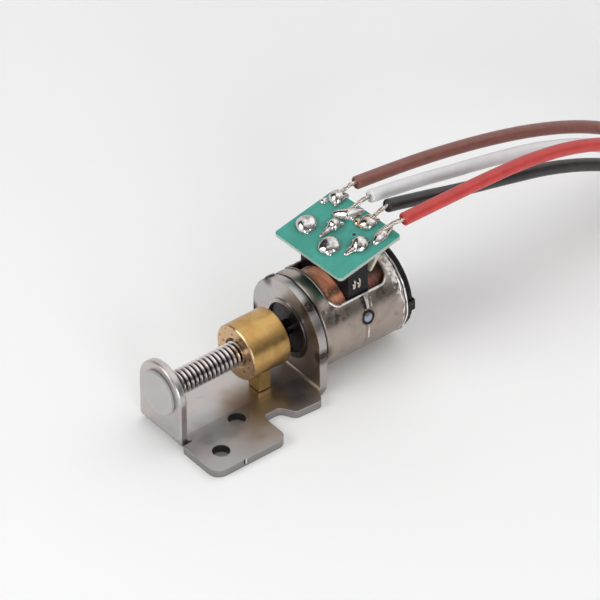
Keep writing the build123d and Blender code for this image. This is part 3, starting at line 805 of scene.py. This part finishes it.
def add_cover():
    """The moulded rear cover, with a knurled edge, a sunken ring and a raised boss."""
    low, high = span("rear_cover")
    radius = (high.x - low.x) / 2
    back = high.y
    teeth = 44

    def knurl(angle, y, r):
        if r > radius - 0.03:
            tooth = max(0.0, sin(radians(angle * teeth))) ** 2
            lump = noise.noise(Vector((angle / 9, 0.3, 1.1)))
            return y, r - 0.035 * tooth + 0.03 * lump
        return y, r

    profile = [(CAN_BACK + 0.002, 1.6), (CAN_BACK + 0.002, radius - 0.02), (CAN_BACK + 0.08, radius + 0.02)]
    profile += [(back - 0.16, radius + 0.02), (back - 0.10, radius - 0.02)]
    profile += [(back, radius - 0.16), (back, radius - 0.75)]
    profile += [(back - 0.10, radius - 0.85), (back - 0.10, 2.0)]
    profile += [(back, 1.9), (back, 1.15), (back - 0.06, 1.05), (back - 0.06, 0.01)]
    shape = lathe(profile, 8 * teeth, knurl)
    piece("moulded_rear_cover", *shape, "black_plastic", stands_for=["rear_cover"], crease=50)


# ---------------------------------------------------------------- can's edges, welds and marks
def window_path():
    """Round the window's edge on the can, with points at most a quarter of a millimetre apart."""
    steps = 10
    corners = [
        (WINDOW_HALF, WINDOW_BACK, 0),
        (-WINDOW_HALF, WINDOW_BACK, 90),
        (-WINDOW_HALF, WINDOW_FRONT, 180),
        (WINDOW_HALF, WINDOW_FRONT, 270),
    ]
    flat = []
    for x, y, start in corners:
        cx = x - WINDOW_CORNER * (1 if x > 0 else -1)
        cy = y - WINDOW_CORNER * (1 if y == WINDOW_BACK else -1)
        for k in range(steps + 1):
            turn = radians(start + 90 * k / steps)
            flat.append((cx + WINDOW_CORNER * cos(turn), cy + WINDOW_CORNER * sin(turn)))
    path = []
    for i, (x, y) in enumerate(flat):
        nx, ny = flat[(i + 1) % len(flat)]
        parts = max(1, ceil(hypot(nx - x, ny - y) / 0.25))
        for k in range(parts):
            px, py = x + (nx - x) * k / parts, y + (ny - y) * k / parts
            path.append(Vector((px, py, AXIS_Z + sqrt(CAN_R**2 - px**2))))
    return path


def add_can_details():
    """The window's raised rim, the weld spots, the rolled rear edge, the seam's lips, and dark strips of painted
    shade in the seam's gaps.
    """
    rim = [p - Vector((p.x, 0, p.z - AXIS_Z)).normalized() * 0.02 for p in window_path()]
    piece("window_rim", *tube(rim, 0.10, 10, closed=True), "can_steel", crease=80, finish=WINDOW_EDGE)

    nugget = [(1.0, -0.02), (0.97, 0.015), (0.86, 0.045), (0.74, 0.03)]
    nugget += [(0.62, 0.006), (0.5, 0.03), (0.3, 0.06), (0.02, 0.068)]
    welds = [patch(side * NUGGET_ANGLE, NUGGET_Y, NUGGET_SIZE, nugget) for side in (1, -1)]
    piece("seam_welds", *merged(welds), "can_steel")

    lump = [(1.0, -0.12), (0.94, 0.0), (0.80, 0.075), (0.62, 0.05), (0.42, 0.07), (0.2, 0.11), (0.02, 0.10)]
    lumps = []
    for index, (angle, y) in enumerate(FLANGE_SPOTS):
        lumps.append(patch(angle, y, 0.42 + 0.03 * (index % 2), lump, radius=FLANGE_R))
    piece("flange_welds", *merged(lumps), "can_steel")

    small = [(1.0, -0.01), (0.8, 0.02), (0.5, 0.012), (0.02, 0.02)]
    spots = [(86, SEAM_Y - 0.25, 0.16), (101, SEAM_Y + 0.2, 0.12), (-84, SEAM_Y - 0.2, 0.14)]
    piece("seam_spots", *merged([patch(*spot, small, 20) for spot in spots]), "can_steel")

    def wavy(radius, y, sway, seed):
        """A ring round the can that sways along it."""
        path = []
        for j in range(180):
            angle = 2 * j
            drift = noise.noise(Vector((4 * cos(radians(angle)), 4 * sin(radians(angle)), seed)))
            path.append(on_can(angle, y + sway * drift, radius + 0.3 * sway * drift))
        return path

    rings = [
        tube(wavy(CAN_R - 0.015, CAN_BACK - 0.09, 0.05, 2.0), 0.07, 10, closed=True),
        tube(wavy(CAN_R - 0.03, CAN_BACK - 0.42, 0.16, 5.0), 0.06, 10, closed=True),
    ]
    piece("rear_rim_beads", *merged(rings), "can_steel", crease=80, finish=WORN_EDGE)

    def strip(side, edges, height):
        """A thin raised strip across the can, from (degrees, near y, far y) places."""
        low, high = CAN_R - 0.03, CAN_R + height
        points = []
        for angle, near_y, far_y in edges:
            for y, radius in ((near_y, low), (near_y, high), (far_y, high), (far_y, low)):
                points.append(on_can(side * angle, y, radius))
        return points, ring_faces(len(edges), 4)

    # painted shade: dark strips laid on the can where the seam gapes
    gap = [(50.2 + 2 * k, SEAM_Y - 0.08 + 0.010 * k, SEAM_Y + 0.30 - 0.010 * k) for k in range(9)]
    lip = [(50.4 + 2 * k, SEAM_Y + 0.34 - 0.014 * k, SEAM_Y + 0.70 - 0.036 * k) for k in range(9)]
    fold = [(56 + 2 * k, SEAM_Y + 0.80 - 0.03 * k, SEAM_Y + 0.88 - 0.03 * k) for k in range(6)]
    tail = [(86 + 3 * k, SEAM_Y + 0.06 + 0.01 * k, SEAM_Y + 0.17 + 0.01 * k) for k in range(7)]
    piece("seam_gap_shade", *merged([strip(side, gap, 0.02) for side in (1, -1)]), "can_steel", finish=DARK_STEEL_AND_GAP_SHADE)
    lips = [strip(side, edges, 0.035) for side in (1, -1) for edges in (lip, fold, tail)]
    piece("seam_lips", *merged(lips), "can_steel", finish=WORN_EDGE)


def add_block_details():
    """The coils' wire ends on the block's side, and a slip of tape from it up to the board."""
    side = BLOCK_SIDE
    posts = []
    for y, z, tall in ((SEAM_Y - 0.38, 7.98, 0.34), (SEAM_Y + 0.09, 7.95, 0.36)):
        bar = [
            (side, y - 0.10, z - tall),
            (side + 0.07, y - 0.04, z - tall + 0.06),
            (side + 0.09, y, z),
            (side + 0.07, y + 0.02, z + tall - 0.1),
            (side - 0.04, y + 0.02, z + tall),
        ]
        whisker = [
            (side - 0.03, y - 0.17, z + 0.08),
            (side + 0.05, y - 0.12, z + 0.02),
            (side + 0.06, y - 0.13, z - 0.22),
            (side + 0.02, y - 0.12, z - tall),
        ]
        posts.append(tube(rounded(bar, 6), 0.085, 10))
        posts.append(tube(rounded(whisker, 6), 0.06, 8))
    piece("coil_wire_ends", *merged(posts), "tinned_copper", crease=80)

    strip = []
    bottom = Vector((side + 0.04, SEAM_Y + 1.12, 8.6))
    top = on_board(3.15, 1.35, -BOARD_THICK - 0.02)
    for k in range(9):
        share = k / 8
        middle = bottom.lerp(top, share)
        middle.y += 0.10 * sin(pi * share)
        for dx, dy in ((-0.5, -0.03), (0.06, -0.12), (0.06, 0.22), (-0.5, 0.12)):
            strip.append(middle + Vector((dx, dy * (0.7 + 0.8 * share), 0)))
    piece("insulating_tape", strip, ring_faces(9, 4), "white_plastic", finish=cream_tape())


def add_shear_mark():
    """The step that the press left on the tab's edge, with a dark wedge of painted shade in its gap."""
    edge = span("bracket")[1].x

    def wedge(y, half, out):
        outline = ((-0.05, -half), (out, -half * 0.6), (out, half * 0.6), (-0.05, half))
        return [(edge + dx, y + dy, z) for z in (0.22, 0.66) for dx, dy in outline], ring_faces(2, 4)

    # painted shade: a dark wedge in the gap beside the step
    piece("shear_mark_gap_shade", *wedge(-3.75, 0.06, 0.035), "bracket_steel", finish=DARK_STEEL_AND_GAP_SHADE)
    piece("shear_mark_step", *wedge(-3.60, 0.07, 0.06), "bracket_steel", finish=WORN_EDGE)


# ---------------------------------------------------------------- solder and bare wire
def tail(start, end, size, width):
    """A bead's tail from its middle to an x, y on the board, as it goes on from the bead's own size."""
    (u0, v0), (u1, v1) = to_board(*start), to_board(*end)
    return degrees(atan2(v1 - v0, u1 - u0)), hypot(u1 - u0, v1 - v0) - size, width


def add_solder():
    """A bead on each terminal pin, and the joints of the four leads."""
    a, b, c, d = BEADS
    tails_c = [tail(PINS[2], (2.29, 9.5), 0.72, 0.46), (75, 0.15, 0.5)]
    tails_d = [tail(PINS[3], (-0.55, 9.40), 0.55, 0.38), (60, 0.3, 0.4), (190, 0.15, 0.4)]
    beads = [
        bead(a, 0.86, 0.58, [(-40, 0.12, 0.55)], (-0.05, 0.10), seed=1),
        bead(b, 0.86, 0.56, [(-38, 0.16, 0.55)], (-0.05, 0.12), seed=2),
        bead(c, 0.72, 0.62, tails_c, (0.05, 0.1), seed=3),
        bead(d, 0.55, 0.60, tails_d, (0.05, 0.1), seed=4),
    ]
    piece("pin_solder_beads", *merged(beads), "solder", crease=60, stands_for=["pin_solder"])

    white, red = (-0.82, 12.32), (2.72, 12.85)
    arms = [tail(white, (-1.80, 11.55), 0.60, 0.60), tail(white, (-0.25, 13.55), 0.60, 0.62), (0, 0.15, 0.4)]
    bars = [tail(red, (3.0, 11.85), 0.46, 0.56), tail(red, (2.38, 13.95), 0.46, 0.56)]
    joints = [
        bead(to_board(-2.85, 12.93), 0.68, 0.66, [(60, 0.25, 0.45), (-50, 0.25, 0.35)], (0, 0.1), seed=5),
        bead(to_board(-3.31, 12.03), 0.32, 0.26, [(90, 0.15, 0.25)], seed=6),
        bead(to_board(*white), 0.60, 0.60, arms, (0.05, 0.05), seed=7),
        bead(to_board(0.86, 12.90), 0.78, 0.54, [(60, 0.2, 0.5)], (0.1, 0.1), seed=8),
        bead(to_board(0.42, 12.45), 0.44, 0.36, seed=9),
        bead(to_board(1.25, 13.1), 0.40, 0.46, seed=12),
        bead(to_board(*red), 0.56, 0.48, bars, seed=10),
    ]
    piece("lead_solder_joints", *merged(joints), "solder", crease=60, stands_for=["lead_solder"])


STRIPPED = {  # from the pad towards the insulation's end, as x, y and height over the board's top
    "brown": [(-2.85, 12.85, 0.30), (-2.70, 13.6, 0.62), (-2.56, 14.1, 0.86)],
    "white": [(-1.0, 12.75, 0.30), (-0.75, 13.2, 0.62), (-0.58, 13.75, 0.86)],
    "black": [(0.95, 12.9, 0.28), (1.10, 13.4, 0.58), (1.24, 13.95, 0.84)],
    "red": [(2.74, 12.3, 0.40), (2.72, 13.1, 0.44), (2.86, 13.8, 0.66)],
}
STRANDS = 6
STRAND_R, LAY_R, LAY_LENGTH = 0.062, 0.11, 2.2  # a strand's own radius, and the helix that it follows


def lead_end(colour):
    """Where a lead's insulation starts, and its direction there."""
    start = Vector(ROUTES[colour][0])
    return start, (Vector(ROUTES[colour][1]) - start).normalized()


def add_stripped_wires():
    """Each lead's tinned strands from its pad into its insulation, and the insulation's cut end."""
    bundles = []
    for colour, points in STRIPPED.items():
        start, along = lead_end(colour)
        bare = [on_board(*to_board(x, y), height) for x, y, height in points]
        route = rounded(bare + [start, start + along * 0.25], 14)
        bundles.append(tube(route, 0.07, 8))
        travelled = [0.0]
        for p, q in zip(route, route[1:]):
            travelled.append(travelled[-1] + (q - p).length)
        across = frames(route)
        for strand in range(STRANDS):
            path = []
            for point, (side, other), far in zip(route, across, travelled):
                turn = tau * (strand / STRANDS + far / LAY_LENGTH)
                path.append(point + (side * cos(turn) + other * sin(turn)) * LAY_R)
            bundles.append(tube(path, STRAND_R, 8))
    piece("lead_core_strands", *merged(bundles), "tinned_copper", crease=80, stands_for=["lead_cores"])

    for colour in STRIPPED:
        start, along = lead_end(colour)
        side, other = frames([start, start + along])[0]
        ring = []
        for k in range(40):
            turn = tau * k / 40
            ring.append(start - along * 0.02 + (side * cos(turn) + other * sin(turn)) * (WIRE_D / 2 - 0.075))
        piece(f"{colour}_cut_end", *tube(ring, 0.07, 10, closed=True), f"{colour}_insulation", crease=80)


# ---------------------------------------------------------------- CAD nodes that stay
def soften(node, width):
    """Rounds a CAD node's sharp edges a little, as plating and tumbling leave them."""
    part = frame["nodes"][node]
    weld = part.modifiers.new("weld", "WELD")
    weld.merge_threshold = 1e-6
    bevel = part.modifiers.new("round", "BEVEL")
    bevel.width = width * MM
    bevel.segments = 3
    bevel.limit_method = "ANGLE"
    bevel.angle_limit = radians(40)
    bevel.use_clamp_overlap = True


EDGES = {  # how wide the rounding is
    "bracket": 0.07,
    "front_stator_cup": 0.05,
    "rear_stator_cup": 0.05,
    "front_bobbin": 0.07,
    "rear_bobbin": 0.07,
    "slider_nut": 0.03,
    "circuit_board": 0.04,
    "crimp_tabs": 0.03,
}
for node, part in frame["nodes"].items():
    part.data.materials.clear()
    part.data.materials.append(FINISHES[SLOT_OF[node]])
frame["nodes"]["crimp_tabs"].data.materials[0] = DARK_STEEL_AND_GAP_SHADE
for node, width in EDGES.items():
    soften(node, width)

add_bush()
add_winding("front_winding", "front_coil", FINISHES["enamelled_copper"])
add_winding("rear_winding", "rear_coil", SHADED_COPY_WINDING)
add_cover()
add_can_details()
add_block_details()
add_shear_mark()
add_solder()
add_stripped_wires()


# ---------------------------------------------------------------- floor and light
TENT_BRIGHTNESS = 0.92
TENT = [  # direction, degrees to where it starts to fade and where it ends, brightness at its centre
    ((-0.61, -0.47, 0.64), 24, 46, 0.04),
    ((0.80, 0.47, 0.34), 16, 34, 0.10),
    ((0.61, -0.47, 0.64), 22, 44, 0.12),
]


def add_floor():
    """A pale floor, three metres across, with painted shade where it shows through the bracket's holes."""
    mesh = bpy.data.meshes.new("floor")
    half = 1.5
    corners = [(-half, -half, 0), (half, -half, 0), (half, half, 0), (-half, half, 0)]
    mesh.from_pydata(corners, [], [(0, 1, 2, 3)])
    f = Finish("floor", (0.9, 0.9, 0.9), rough=0.7)
    colour = f.mix(f.noise(60, detail=2), (0.97, 0.97, 0.97), (0.95, 0.95, 0.95))
    # painted shade: the floor darkened under each of the bracket's holes
    for x, y in HOLES:
        colour = f.over(colour, f.near((x, y, 0), HOLE_R - 0.04, HOLE_R + 0.06), 0.75, (0.10, 0.10, 0.09))
    f.to("Base Color", colour)
    mesh.materials.append(f.mat)
    made = bpy.data.objects.new("floor", mesh)
    bpy.context.scene.collection.objects.link(made)


def add_world():
    """A pale tent with three dark gaps in it."""
    world = bpy.data.worlds.new("studio")
    bpy.context.scene.world = world
    world.use_nodes = True
    tree = world.node_tree
    where = tree.nodes.new("ShaderNodeTexCoord").outputs["Generated"]

    def lobe(toward, inner, outer, at_centre):
        """at_centre within inner degrees of a direction, fading to 1 at outer degrees."""
        dot = tree.nodes.new("ShaderNodeVectorMath")
        dot.operation = "DOT_PRODUCT"
        dot.inputs[1].default_value = Vector(toward).normalized()
        tree.links.new(where, dot.inputs[0])
        fade = tree.nodes.new("ShaderNodeMapRange")
        fade.interpolation_type = "SMOOTHSTEP"
        limits = (cos(radians(outer)), cos(radians(inner)), 1.0, at_centre)
        for socket, value in zip(("From Min", "From Max", "To Min", "To Max"), limits):
            fade.inputs[socket].default_value = value
        tree.links.new(dot.outputs["Value"], fade.inputs["Value"])
        return fade.outputs[0]

    total = lobe(*TENT[0])
    for shape in TENT[1:]:
        product = tree.nodes.new("ShaderNodeMath")
        product.operation = "MULTIPLY"
        tree.links.new(total, product.inputs[0])
        tree.links.new(lobe(*shape), product.inputs[1])
        total = product.outputs[0]
    background = tree.nodes["Background"]
    tree.links.new(total, background.inputs["Color"])
    background.inputs["Strength"].default_value = TENT_BRIGHTNESS


def add_light(name, place, size, power):
    """A square soft box, turned towards the motor."""
    data = bpy.data.lights.new(name, "AREA")
    data.shape = "RECTANGLE"
    data.size, data.size_y = size * MM, size * MM
    data.energy = power
    lamp = bpy.data.objects.new(name, data)
    bpy.context.scene.collection.objects.link(lamp)
    place, target = Vector(place) * MM, Vector((0, 6, 4)) * MM
    turn = (target - place).to_track_quat("-Z", "Y").to_matrix().to_4x4()
    lamp.matrix_world = Matrix.Translation(place) @ turn


add_floor()
add_world()
add_light("top_box", (60, 90, 260), 480, 0.24)
add_light("front_box", (232, -96, 76), 110, 0.26)
add_light("side_box", (-70, -210, 150), 160, 0.29)
bpy.context.scene.view_settings.view_transform = "Standard"
bpy.context.scene.view_settings.look = "None"
